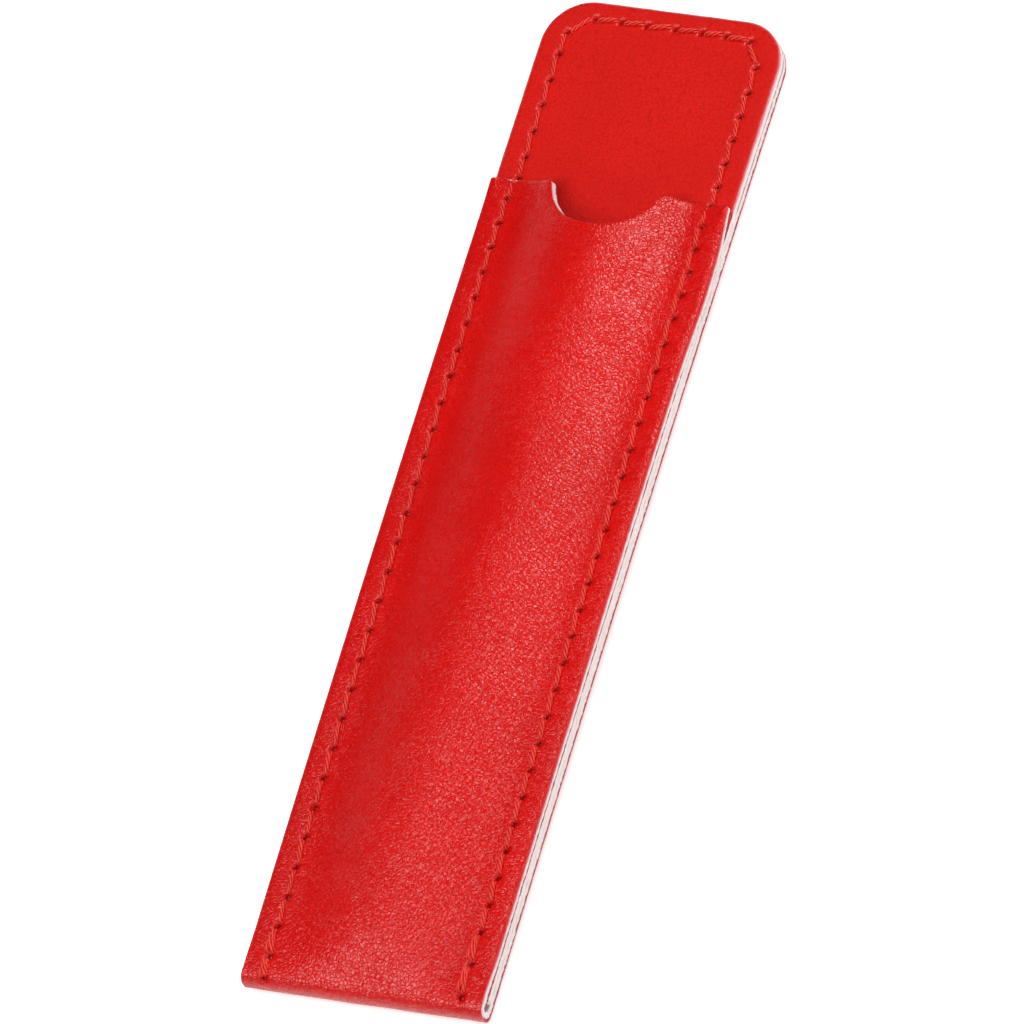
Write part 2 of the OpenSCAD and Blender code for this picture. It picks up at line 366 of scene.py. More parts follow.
def walked(parts, step):
    """A closed line through the given points, with a point at every step"""
    line = np.vstack(list(parts) + [parts[0][:1]])
    keep = np.r_[True, np.linalg.norm(np.diff(line, axis=0), axis=1) > 1e-6]
    line = line[keep]
    along = np.r_[0, np.cumsum(np.linalg.norm(np.diff(line, axis=0), axis=1))]
    count = int(round(along[-1] / step))
    at = np.linspace(0, along[-1], count, endpoint=False)
    return np.stack([np.interp(at, along, line[:, 0]), np.interp(at, along, line[:, 1])], 1)


def notch_line(m, v):
    """The mouth's edge from right to left, with the thumb notch and its round shoulders"""
    w, d, rs = m.notch_width, m.notch_depth, NOTCH_SHOULDER
    r = (w * w / 4 + d * d) / (2 * d)
    lift = r - d
    sx = math.sqrt((r + rs) ** 2 - (lift + rs) ** 2)
    a = math.degrees(math.atan2(lift + rs, sx))
    return [arc(sx, v - rs, rs, 90, 180 - a), arc(0, v + lift, r, -a, a - 180),
            arc(-sx, v - rs, rs, a, 90)]


def strip_outline(m):
    """Cut line of the flat strip, anticlockwise, red face up"""
    h, c, r = m.half, MOUTH_CORNER, m.corner
    mouth = m.mouth_y - m.fold_y
    low = m.fold_y - m.fold_turn - m.top_y
    parts = [arc(h - r, low + r, r, -90, 0), arc(h - c, mouth - c, c, 0, 90, 0.15)]
    parts += notch_line(m, mouth)
    parts += [arc(-h + c, mouth - c, c, 90, 180, 0.15), arc(-h + r, low + r, r, 180, 270)]
    return walked(parts, RIM_STEP)


def lining_outline(m):
    """Cut line of the lining, anticlockwise, red face up"""
    h, r = m.half, m.corner
    corner = np.array([[h, m.lining_y]])
    parts = [corner, arc(h - r, m.top_y - r, r, 0, 90), arc(-h + r, m.top_y - r, r, 90, 180),
             corner * (-1, 1)]
    return walked(parts, RIM_STEP)


def outward(outline):
    """Outward directions along an anticlockwise line"""
    d = np.roll(outline, -1, 0) - np.roll(outline, 1, 0)
    d /= np.linalg.norm(d, axis=1)[:, None]
    return np.stack([d[:, 1], -d[:, 0]], 1)


def nearest(points, places):
    """For each point, the index of the place nearest to it and the distance"""
    tree = kdtree.KDTree(len(places))
    for i, (x, y) in enumerate(places):
        tree.insert((x, y, 0), i)
    tree.balance()
    found = [tree.find((x, y, 0)) for x, y in points]
    return np.array([f[1] for f in found], int), np.array([f[2] for f in found])


def rim_gap(points, outline):
    """Signed distance inside an outline"""
    at = nearest(points, outline)[0]
    return ((outline[at] - points) * outward(outline)[at]).sum(1)


def rim_normals(flat):
    """Outward directions at a pattern's points near the rim, and zero at the others"""
    normals = np.zeros_like(flat.points)
    near = flat.gap < NEAR_RIM
    normals[near] = outward(flat.outline)[nearest(flat.points[near], flat.outline)[0]]
    return normals


def lattice(x0, x1, y0, y1, step):
    """Points in staggered rows"""
    rows = []
    for i, y in enumerate(np.arange(y0, y1, step * ROW_PITCH)):
        x = np.arange(x0 + (i % 2) * step / 2, x1, step)
        rows.append(np.stack([x, np.full(len(x), y)], 1))
    return np.vstack(rows)


def hole_rings(holes):
    """Points in rings round every needle hole"""
    rings = []
    for hx, hy in holes:
        rings.append([[hx, hy]])
        for r, count in HOLE_RINGS:
            a = np.arange(count) / count * 2 * math.pi
            rings.append(np.stack([hx + r * np.cos(a), hy + r * np.sin(a)], 1))
    return np.vstack(rings)


def pattern(outline, holes, gap_of, coarse):
    """A flat panel as triangles: fine beside the seam, coarser over the rest. gap_of gives the
    distance from the seam."""
    lo, hi = outline.min(0), outline.max(0)
    fine = lattice(lo[0], hi[0], lo[1], hi[1], FINE_STEP)
    fine = fine[gap_of(fine) < FINE_BAND]
    wide = lattice(lo[0], hi[0], lo[1], hi[1], coarse)
    wide = wide[gap_of(wide) >= FINE_BAND + coarse / 2]
    spread = [p[nearest(p, holes)[1] > HOLE_CLEAR] for p in (fine, wide)]
    loose = np.vstack([hole_rings(holes), *spread])
    loose = loose[rim_gap(loose, outline) > RIM_CLEAR]
    # Inset lines, without the points that come too near the edge in a tight bend
    insets = [outline - outward(outline) * gap for gap in RIM_INSETS]
    insets = [ring[rim_gap(ring, outline) > 0.1] for ring in insets]
    points = np.vstack([outline, *insets, loose])
    n = len(outline)
    edges = [(i, (i + 1) % n) for i in range(n)]
    found = delaunay_2d_cdt([Vector(p) for p in points], edges, [], 1, 1e-6)
    points = np.array([p[:] for p in found[0]])
    faces = np.array(found[2])
    a, b, c = (points[faces[:, i]] for i in range(3))
    area = (b[:, 0] - a[:, 0]) * (c[:, 1] - a[:, 1]) - (b[:, 1] - a[:, 1]) * (c[:, 0] - a[:, 0])
    faces[area < 0] = faces[area < 0][:, ::-1]
    centre = (a + b + c) / 3
    faces = faces[rim_gap(centre, outline) > -ON_RIM]
    directed = {}
    for f in faces:
        for i in range(3):
            directed[(int(f[i]), int(f[(i + 1) % 3]))] = True
    rim = [e for e in directed if (e[1], e[0]) not in directed]
    return SimpleNamespace(points=points, faces=faces, rim=rim, outline=outline,
                           gap=np.maximum(0, rim_gap(points, outline)))


# Meshes
def shell(name, flat, levels, place, marks):
    """A closed panel from a flat pattern. place(level, indices) gives the points of a level in
    millimetres, and marks gives the value of each named attribute for a level."""
    n = len(flat.points)
    everything = np.arange(n)
    rim_points = np.array(sorted({a for a, _ in flat.rim} | {b for _, b in flat.rim}))
    rim_place = {int(p): i for i, p in enumerate(rim_points)}
    blocks, offsets, attributes = [], [], {key: [] for key in marks}
    total = 0
    last = len(levels) - 1
    for k in range(len(levels)):
        chosen = everything if k in (0, last) else rim_points
        blocks.append(place(k, chosen))
        offsets.append(total)
        total += len(chosen)
        for key, rule in marks.items():
            attributes[key].append(rule(k, chosen))

    def vertex(k, point):
        """Number in the mesh of a pattern's point at a level"""
        return offsets[k] + (point if k in (0, last) else rim_place[point])

    faces = [tuple(int(i) for i in f) for f in flat.faces]
    faces += [tuple(int(i) + offsets[last] for i in f[::-1]) for f in flat.faces]
    for a, b in flat.rim:
        for k in range(last):
            faces.append((vertex(k, a), vertex(k + 1, a), vertex(k + 1, b), vertex(k, b)))
    mesh = bpy.data.meshes.new(name)
    mesh.from_pydata((np.vstack(blocks) * MM).tolist(), [], faces)
    mesh.polygons.foreach_set("use_smooth", [True] * len(mesh.polygons))
    sharp = {tuple(sorted((vertex(k, a), vertex(k, b)))) for a, b in flat.rim for k in (0, last)}
    crease = mesh.attributes.new("sharp_edge", "BOOLEAN", "EDGE")
    crease.data.foreach_set("value", [tuple(sorted(e.vertices)) in sharp for e in mesh.edges])
    for key, values in attributes.items():
        mark = mesh.attributes.new(key, "FLOAT", "POINT")
        mark.data.foreach_set("value", np.concatenate(values).astype(np.float32))
    mesh.update()
    piece = bpy.data.objects.new(name, mesh)
    bpy.context.scene.collection.objects.link(piece)
    return piece


def settle(piece, material, slot, *nodes):
    """Gives a finished piece its finish and its body, and hides the CAD nodes it stands for"""
    piece.data.materials.clear()
    piece.data.materials.append(material)
    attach(piece, BODY)
    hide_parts(*nodes)


def waver(points, amount, seed):
    """Soft unevenness of the given amount over points of a pattern, once in a unit of length"""
    return np.array([noise.noise(Vector((x, y, seed))) for x, y in points]) * amount


def round_rim(gap, depth, width):
    """How far a rounded rim sinks at a distance from the cut edge"""
    return depth * np.maximum(0, 1 - gap / width) ** 2


def fading(m, depth):
    """Share of a dent in the red face that is left at a depth under it"""
    return np.clip(1 - (depth - m.coat) / (m.sheet - m.coat), 0, 1) ** 0.5


def core_edge(m):
    """Rule of a core's depth under its coat, from 0 to 1"""
    return lambda k, c: np.full(len(c), (m.core_levels[k] - m.coat) / (m.sheet - m.coat))


# Materials
def node_adder(tree):
    """A function that adds a node to a tree, with its settings and with values or links as inputs"""
    def add(kind, inputs=None, **settings):
        node = tree.nodes.new(kind)
        for key, value in settings.items():
            setattr(node, key, value)
        for key, value in (inputs or {}).items():
            socket = node.inputs[key]
            if isinstance(value, bpy.types.NodeSocket):
                tree.links.new(value, socket)
            else:
                socket.default_value = value
        return node

    return add


def new_material(name):
    """A material with an empty node tree, and an adder of nodes to it"""
    material = bpy.data.materials.new(name)
    material.use_nodes = True
    material.node_tree.nodes.clear()
    return material, node_adder(material.node_tree)


def finished(material, add, base, rough, bumps, **more):
    """Ends a material's tree with its shader. bumps is (height, strength, distance)."""
    bump = add("ShaderNodeBump", dict(zip(("Height", "Strength", "Distance"), bumps)))
    inputs = {"Base Color": base, "Roughness": rough, "Normal": bump.outputs["Normal"]}
    inputs.update({key.replace("_", " "): value for key, value in more.items()})
    shader = add("ShaderNodeBsdfPrincipled", inputs)
    add("ShaderNodeOutputMaterial", {"Surface": shader.outputs[0]})
    return material


def blend_colour(add, factor, a, b):
    """Mixes two colours by a factor"""
    node = add("ShaderNodeMix", data_type="RGBA")
    for index, value in ((0, factor), (6, a), (7, b)):
        if isinstance(value, bpy.types.NodeSocket):
            node.id_data.links.new(value, node.inputs[index])
        else:
            node.inputs[index].default_value = value if index == 0 else (*value, 1)[:4]
    return node.outputs[2]


def ramped(add, value, low, high, to_low=0.0, to_high=1.0):
    """A soft step of a value"""
    return add("ShaderNodeMapRange", {"Value": value, "From Min": low, "From Max": high,
                                      "To Min": to_low, "To Max": to_high},
               interpolation_type="SMOOTHSTEP").outputs["Result"]


def calc(add, operation, a, b=0.0):
    """One step of arithmetic"""
    return add("ShaderNodeMath", {0: a, 1: b}, operation=operation).outputs[0]


def vectors(add, operation, a, b):
    """One step of arithmetic with two vectors"""
    return add("ShaderNodeVectorMath", {0: a, 1: b}, operation=operation).outputs[0]


def scaled(add, vector, factor):
    """A vector times a factor"""
    return add("ShaderNodeVectorMath", {0: vector, "Scale": factor}, operation="SCALE").outputs[0]


def clouds(add, place, scale, detail, roughness=0.5):
    """Soft random spots, about as many in a metre as the scale says"""
    return add("ShaderNodeTexNoise", {"Vector": place, "Scale": scale, "Detail": detail,
                                      "Roughness": roughness}).outputs["Fac"]


def uneven(add, colour, factor, dark, light):
    """A colour that runs from a darker to a lighter share of itself"""
    return blend_colour(add, factor, [c * dark for c in colour], [min(1, c * light) for c in colour])


def stored(add, name):
    """A value stored on the mesh"""
    return add("ShaderNodeAttribute", attribute_name=name).outputs["Fac"]


def red_leather(name, colour, cell, relief, matt):
    """Coated leather: pebbles between fine creases, a soft sheen, painted shade in the creases and
    where the thread pulls the leather in
    """
    material, add = new_material(name)
    place = add("ShaderNodeTexCoord").outputs["Object"]
    centred = (0.5, 0.5, 0.5)
    drift = add("ShaderNodeTexNoise", {"Vector": place, "Scale": 0.7 / cell, "Detail": 2.0})
    shift = vectors(add, "SUBTRACT", drift.outputs["Color"], centred)
    warped = vectors(add, "ADD", place, scaled(add, shift, cell * 0.9))
    cells = {"Vector": warped, "Scale": 1 / cell, "Randomness": 1.0}
    pebble = add("ShaderNodeTexVoronoi", cells, feature="DISTANCE_TO_EDGE").outputs["Distance"]
    single = add("ShaderNodeTexVoronoi", cells)
    within = vectors(add, "SUBTRACT", warped, single.outputs["Position"])
    lean = vectors(add, "SUBTRACT", single.outputs["Color"], centred)
    tilt = add("ShaderNodeVectorMath", {0: within, 1: lean}, operation="DOT_PRODUCT").outputs["Value"]
    crease = ramped(add, pebble, 0.0, 0.13)
    round_top = calc(add, "ADD", calc(add, "MULTIPLY", ramped(add, pebble, 0.0, 0.18), 0.56),
                     calc(add, "MULTIPLY", ramped(add, pebble, 0.03, 0.48), 0.44))
    # Relief: round pebbles in stronger and weaker patches, each a little tilted, deeper below
    strength = ramped(add, clouds(add, place, 160.0, 2.0), 0.3, 0.7, relief * 0.6, relief)
    height = calc(add, "MULTIPLY", round_top, strength)
    height = calc(add, "ADD", height, calc(add, "MULTIPLY", tilt, relief * 2900))
    up = add("ShaderNodeSeparateXYZ", {0: place}).outputs["Y"]
    height = calc(add, "MULTIPLY", height, ramped(add, up, -0.050, 0.0, 1.55, 1.0))
    fine = clouds(add, place, 3.2 / cell, 3.0)
    height = calc(add, "ADD", height, calc(add, "MULTIPLY", fine, relief * 0.15))
    # Colour: broad patches, then painted shade in the creases, the needle holes and the thread's
    # dents, then the coat's cut edge
    base = uneven(add, colour, ramped(add, clouds(add, place, 45.0, 3.0), 0.3, 0.7), 0.93, 1.05)
    # Painted shade: the creases between the pebbles are darker, as where shade falls in the valleys
    crease_shade = (colour[0] * 0.82, colour[1] * 0.5, colour[2] * 0.5)
    base = blend_colour(add, calc(add, "SUBTRACT", 1.0, crease), base, crease_shade)
    # Painted shade in the needle holes and in the dents the thread pulls in: darker where the dent is
    # deeper
    base = blend_colour(add, ramped(add, stored(add, "press"), 0.26, 0.62), base,
                        (0.42, 0.0012, 0.0010))
    base = blend_colour(add, ramped(add, stored(add, "edge"), 0.15, 1.0), base, (0.86, 0.26, 0.30))
    rough = ramped(add, fine, 0.3, 0.7, matt - 0.04, matt + 0.05)
    return finished(material, add, base, rough, (height, 1.0, 1.0), Specular_IOR_Level=0.42)


def cut_core(name, colour):
    """The leather's pale core: matt short fibres, pinker next to the coat"""
    material, add = new_material(name)
    place = add("ShaderNodeTexCoord").outputs["Object"]
    fibre = clouds(add, place, 2600.0, 4.0, 0.65)
    lump = clouds(add, place, 700.0, 2.0)
    base = uneven(add, colour, ramped(add, fibre, 0.35, 0.65), 0.96, 1.04)
    base = blend_colour(add, ramped(add, lump, 0.42, 0.62, 0.0, 0.3), base, (1.0, 0.76, 0.74))
    depth = calc(add, "ADD", stored(add, "edge"), ramped(add, lump, 0.3, 0.7, -0.10, 0.10))
    base = blend_colour(add, ramped(add, depth, 0.34, 0.0), base, (0.90, 0.40, 0.46))
    # Edge lines: painted shade in the gaps and a dark line by the back's coat where positive, grey
    # glue where negative
    dashes = clouds(add, place, 1500.0, 1.0)
    dark_line_and_glue = calc(add, "MULTIPLY", stored(add, "dark_line_and_glue"), ramped(add, dashes, 0.36, 0.58, 0.60, 1.30))
    base = blend_colour(add, ramped(add, dark_line_and_glue, 0.35, 0.85), base, (0.40, 0.045, 0.085))
    seam = calc(add, "MULTIPLY", dark_line_and_glue, -1.0)
    base = blend_colour(add, ramped(add, seam, 0.35, 0.85), base, (0.50, 0.40, 0.40))
    return finished(material, add, base, 0.9, (fibre, 0.5, 0.00008), Specular_IOR_Level=0.2)


def sewing_thread(name, colour):
    """Twisted polyester thread: fine filaments with a faint sheen, painted shade between the plies"""
    material, add = new_material(name)
    place = add("ShaderNodeTexCoord").outputs["Object"]
    hair = clouds(add, place, 6000.0, 2.0)
    base = uneven(add, colour, ramped(add, clouds(add, place, 260.0, 1.0), 0.3, 0.7), 0.85, 1.08)
    bright = (min(1, colour[0] * 1.1), colour[1] * 2.4, colour[2] * 2.4)
    base = blend_colour(add, ramped(add, hair, 0.35, 0.65, 0.0, 0.35), base, bright)
    # Painted shade where the plies meet, near the thread's middle line
    base = blend_colour(add, ramped(add, stored(add, "outer"), 0.46, 0.36), base, (0.76, 0.017, 0.012))
    return finished(material, add, base, 0.55, (hair, 0.5, 0.00005), Specular_IOR_Level=0.4,
                    Sheen_Weight=0.05, Sheen_Roughness=0.5)


def dried_glue(name, colour):
    """Dried adhesive in the cut edge"""
    material, add = new_material(name)
    place = add("ShaderNodeTexCoord").outputs["Object"]
    lump = clouds(add, place, 900.0, 3.0)
    base = uneven(add, colour, ramped(add, lump, 0.35, 0.65), 0.7, 1.15)
    return finished(material, add, base, 0.6, (lump, 0.6, 0.0001))


def white_floor(name):
    """White floor that keeps the sleeve's soft shadow"""
    material, add = new_material(name)
    rays = add("ShaderNodeLightPath")
    seen = calc(add, "MAXIMUM", rays.outputs["Is Camera Ray"], rays.outputs["Is Glossy Ray"])
    seen = calc(add, "MAXIMUM", seen, rays.outputs["Is Transmission Ray"])
    paper = add("ShaderNodeBsdfDiffuse", {"Color": (0.93, 0.93, 0.93, 1)})
    glow = add("ShaderNodeEmission", {"Color": (1, 1, 1, 1),
                                      "Strength": calc(add, "MULTIPLY", seen, 0.50)})
    both = add("ShaderNodeAddShader", {0: paper.outputs[0], 1: glow.outputs[0]})
    add("ShaderNodeOutputMaterial", {"Surface": both.outputs[0]})
    return material


# Stitches
def stitch_tree():
    """Geometry nodes that lay one twisted stitch on every point, along its aim"""
    tree = bpy.data.node_groups.new("twisted_stitches", "GeometryNodeTree")
    sockets = tree.interface
    sockets.new_socket("Geometry", in_out="INPUT", socket_type="NodeSocketGeometry")
    for label, kind, value in (
            ("Stitch Length", "Float", 0.0041), ("Thread Thickness", "Float", 0.00064),
            ("Height", "Float", 0.0002), ("Leg", "Float", 0.0009), ("Bend", "Float", 0.0005),
            ("Turns", "Float", 1.4), ("Steps", "Int", 44), ("Sides", "Int", 6), ("Seed", "Int", 7),
            ("Finish", "Material", None)):
        socket = sockets.new_socket(label, in_out="INPUT", socket_type="NodeSocket" + kind)
        if value is not None:
            socket.default_value = value
    sockets.new_socket("Geometry", in_out="OUTPUT", socket_type="NodeSocketGeometry")
    add = node_adder(tree)
    given = add("NodeGroupInput").outputs
    length, thick = given["Stitch Length"], given["Thread Thickness"]

    def maths(operation, a, b=0.0):
        """One step of arithmetic in this tree"""
        return calc(add, operation, a, b)

    def named(name, data_type):
        """A value stored on the points"""
        return add("GeometryNodeInputNamedAttribute", {"Name": name}, data_type=data_type).outputs[0]

    # A staple: down a leg, along the leather and down the other leg, with round bends
    line = add("GeometryNodeCurvePrimitiveLine", {"Start": (-1, 0, 0), "End": (1, 0, 0)})
    four = add("GeometryNodeResampleCurve", {"Curve": line.outputs[0], "Count": 4})
    part = add("GeometryNodeSplineParameter").outputs["Factor"]
    middle = maths("SUBTRACT", part, 0.5)
    reach = maths("SUBTRACT", maths("MULTIPLY", length, 0.5), maths("MULTIPLY", thick, 1.02))
    inner = maths("LESS_THAN", maths("ABSOLUTE", middle), 0.3)
    rise = maths("ADD", given["Height"], given["Leg"])
    corner = add("ShaderNodeCombineXYZ", {
        0: maths("MULTIPLY", maths("SIGN", middle), reach),
        2: maths("SUBTRACT", maths("MULTIPLY", inner, rise), given["Leg"])})
    staple = add("GeometryNodeSetPosition", {"Geometry": four.outputs[0],
                                             "Position": corner.outputs[0]})
    bent = add("GeometryNodeFilletCurve", {"Curve": staple.outputs[0], "Count": 5,
                                           "Radius": given["Bend"], "Limit Radius": True},
               mode="POLY")
    even = add("GeometryNodeResampleCurve", {"Curve": bent.outputs[0], "Count": given["Steps"]})
    # Three plies wound round the staple's line
    across = (0.0, 1.0, 0.0)
    upward = vectors(add, "CROSS_PRODUCT", add("GeometryNodeInputTangent").outputs[0], across)
    wound = maths("MULTIPLY", part, maths("MULTIPLY", given["Turns"], 2 * math.pi))
    ply_way = maths("MULTIPLY", thick, 0.300)
    round_ply = add("GeometryNodeCurvePrimitiveCircle", {"Resolution": given["Sides"],
                                                         "Radius": maths("MULTIPLY", thick, 0.225)})
    here = add("GeometryNodeInputPosition").outputs[0]
    marked = add("GeometryNodeStoreNamedAttribute",
                 {"Geometry": even.outputs[0], "Name": "middle", "Value": here},
                 data_type="FLOAT_VECTOR")
    plies = add("GeometryNodeJoinGeometry")
    for k in range(3):
        angle = maths("ADD", wound, k * 2 * math.pi / 3)
        high = scaled(add, upward, maths("MULTIPLY", maths("COSINE", angle), ply_way))
        wide = scaled(add, across, maths("MULTIPLY", maths("SINE", angle), ply_way))
        ply = add("GeometryNodeSetPosition", {"Geometry": marked.outputs[0],
                                              "Offset": vectors(add, "ADD", high, wide)})
        tube = add("GeometryNodeCurveToMesh", {"Curve": ply.outputs[0],
                                               "Profile Curve": round_ply.outputs[0],
                                               "Fill Caps": True})
        tree.links.new(tube.outputs[0], plies.inputs[0])
    # How far out each point is, for the shade between the plies
    out_by = add("ShaderNodeVectorMath", {0: here, 1: named("middle", "FLOAT_VECTOR")},
                 operation="DISTANCE").outputs["Value"]
    shaped = add("GeometryNodeStoreNamedAttribute",
                 {"Geometry": plies.outputs[0], "Name": "outer",
                  "Value": maths("DIVIDE", out_by, thick)}, data_type="FLOAT")
    # One stitch on every point
    turned = add("FunctionNodeAlignRotationToVector", {"Vector": named("aim", "FLOAT_VECTOR")},
                 axis="X")
    turned = add("FunctionNodeAlignRotationToVector",
                 {"Rotation": turned.outputs[0], "Vector": named("up", "FLOAT_VECTOR")},
                 axis="Z", pivot_axis="X")
    vary = add("FunctionNodeRandomValue", {2: 0.93, 3: 1.07, "Seed": given["Seed"]},
               data_type="FLOAT").outputs[1]
    stout = maths("MULTIPLY", vary, named("thick", "FLOAT"))
    size = add("ShaderNodeCombineXYZ", {0: maths("DIVIDE", named("reach", "FLOAT"), length),
                                        1: stout, 2: stout})
    laid = add("GeometryNodeInstanceOnPoints", {"Points": given["Geometry"],
                                                "Instance": shaped.outputs[0],
                                                "Rotation": turned.outputs[0],
                                                "Scale": size.outputs[0]})
    real = add("GeometryNodeRealizeInstances", {0: laid.outputs[0]})
    shaded = add("GeometryNodeSetShadeSmooth", {0: real.outputs[0]})
    dressed = add("GeometryNodeSetMaterial", {"Geometry": shaded.outputs[0],
                                              "Material": given["Finish"]})
    add("NodeGroupOutput", {0: dressed.outputs[0]})
    return tree


def sewn(name, rows, material, m, height, leg, steps, sides, seed):
    """A run of stitches as one plain mesh. Each row is (centre, aim, up, reach, thickness)."""
    mesh = bpy.data.meshes.new(name + "_points")
    mesh.from_pydata([tuple(c * MM for c in r[0]) for r in rows], [], [])
    for key, index in (("aim", 1), ("up", 2)):
        mark = mesh.attributes.new(key, "FLOAT_VECTOR", "POINT")
        mark.data.foreach_set("vector", np.array([r[index] for r in rows], np.float32).ravel())
    for key, index, unit in (("reach", 3, MM), ("thick", 4, 1.0)):
        mark = mesh.attributes.new(key, "FLOAT", "POINT")
        mark.data.foreach_set("value", np.array([r[index] * unit for r in rows], np.float32))
    guide = bpy.data.objects.new(name + "_guide", mesh)
    bpy.context.scene.collection.objects.link(guide)
    modifier = guide.modifiers.new("stitches", "NODES")
    tree = bpy.data.node_groups.get("twisted_stitches") or stitch_tree()
    modifier.node_group = tree
    keys = {s.name: s.identifier for s in tree.interface.items_tree if s.in_out == "INPUT"}
    for label, value in (("Thread Thickness", m.thread * MM), ("Height", height * MM),
                         ("Leg", leg * MM), ("Turns", m.turns), ("Steps", steps),
                         ("Sides", sides), ("Seed", seed), ("Finish", material)):
        modifier[keys[label]] = value
    ready = guide.evaluated_get(bpy.context.evaluated_depsgraph_get())
    result = bpy.data.meshes.new_from_object(ready)
    bpy.data.objects.remove(guide)
    for key in ("aim", "up", "reach", "thick", "middle"):
        if key in result.attributes:
            result.attributes.remove(result.attributes[key])
    result.name = name
    piece = bpy.data.objects.new(name, result)
    bpy.context.scene.collection.objects.link(piece)
    return piece


def stitch_row(p, q, up, slant=0.0, thick=1.0, side=0.0, lift=0.0):
    """One stitch between two holes, turned by a slant in degrees about its middle"""
    p, q, up = (np.array(v, float) for v in (p, q, up))
    reach = np.linalg.norm(q - p)
    aim = (q - p) / reach
    across = np.cross(up, aim)
    centre = (p + q) / 2 + across * side + up * lift
    a = math.radians(slant)
    return centre, aim * math.cos(a) + across * math.sin(a), up, reach, thick


# Operators
class PENSLEEVE_OT_stage(bpy.types.Operator):
    """Sets the camera, the white floor and the soft light"""
    bl_idname = "pensleeve.stage"
    bl_label = "Stage"

    def execute(self, context):
        scene = context.scene
        scene.view_settings.view_transform = "Standard"
        right = Vector((0.9041, 0.2815, -0.3214)).normalized()
        forward = Vector((-0.4085, 0.3490, -0.8434)).normalized()
        down = forward.cross(right).normalized()
        right = down.cross(forward).normalized()
        away = 3.945
        data = bpy.data.cameras.new("camera")
        data.lens = 990.1
        data.sensor_width = 36
        data.clip_start, data.clip_end = 0.1, 50
        camera = bpy.data.objects.new("camera", data)
        scene.collection.objects.link(camera)
        place = -(right * 0.00179 - down * 0.000098 + forward * away)
        turn = Matrix((right, -down, -forward)).transposed()
        camera.matrix_world = Matrix.Translation(place) @ turn.to_4x4()
        scene.camera = camera

        floor_mesh = bpy.data.meshes.new("floor")
        reach = 4.0
        floor_mesh.from_pydata([(-reach, -reach, 0), (reach, -reach, 0), (reach, reach, 0),
                                (-reach, reach, 0)], [], [(0, 1, 2, 3)])
        floor = bpy.data.objects.new("floor", floor_mesh)
        floor.location.z = -0.0004
        scene.collection.objects.link(floor)
        floor_mesh.materials.append(white_floor("floor_white"))

        def softbox(name, towards, distance, size, power):
            """A round light that faces the sleeve from a direction"""
            light = bpy.data.lights.new(name, "AREA")
            light.shape = "DISK"
            light.size = size
            light.energy = power
            lamp = bpy.data.objects.new(name, light)
            spot = Vector(towards).normalized() * distance
            lamp.location = spot
            lamp.rotation_euler = (-spot).to_track_quat("-Z", "Y").to_euler()
            scene.collection.objects.link(lamp)

        softbox("right_softbox", (0.321, 0.625, 0.711), 0.499, 0.20, 1.13)
        softbox("front_softbox", (-0.30, -0.42, 0.855), 0.50, 0.26, 1.12)
        softbox("overhead_softbox", (0.06, -0.10, 0.99), 0.60, 0.30, 0.74)
        softbox("side_fill", (0.94, -0.30, 0.16), 1.0, 0.5, 3.1)
        softbox("front_fill", (-0.10, -0.97, 0.20), 1.0, 0.8, 0.9)

        world = bpy.data.worlds.new("studio")
        scene.world = world
        world.use_nodes = True
        world.node_tree.nodes.clear()
        add = node_adder(world.node_tree)
        direction = add("ShaderNodeTexCoord").outputs["Generated"]
        high = add("ShaderNodeSeparateXYZ", {0: direction}).outputs["Z"]
        sky = add("ShaderNodeBackground", {"Strength": ramped(add, high, 0.04, 0.14, 0.50, 0.05)})
        add("ShaderNodeOutputWorld", {0: sky.outputs[0]})
        return {"FINISHED"}


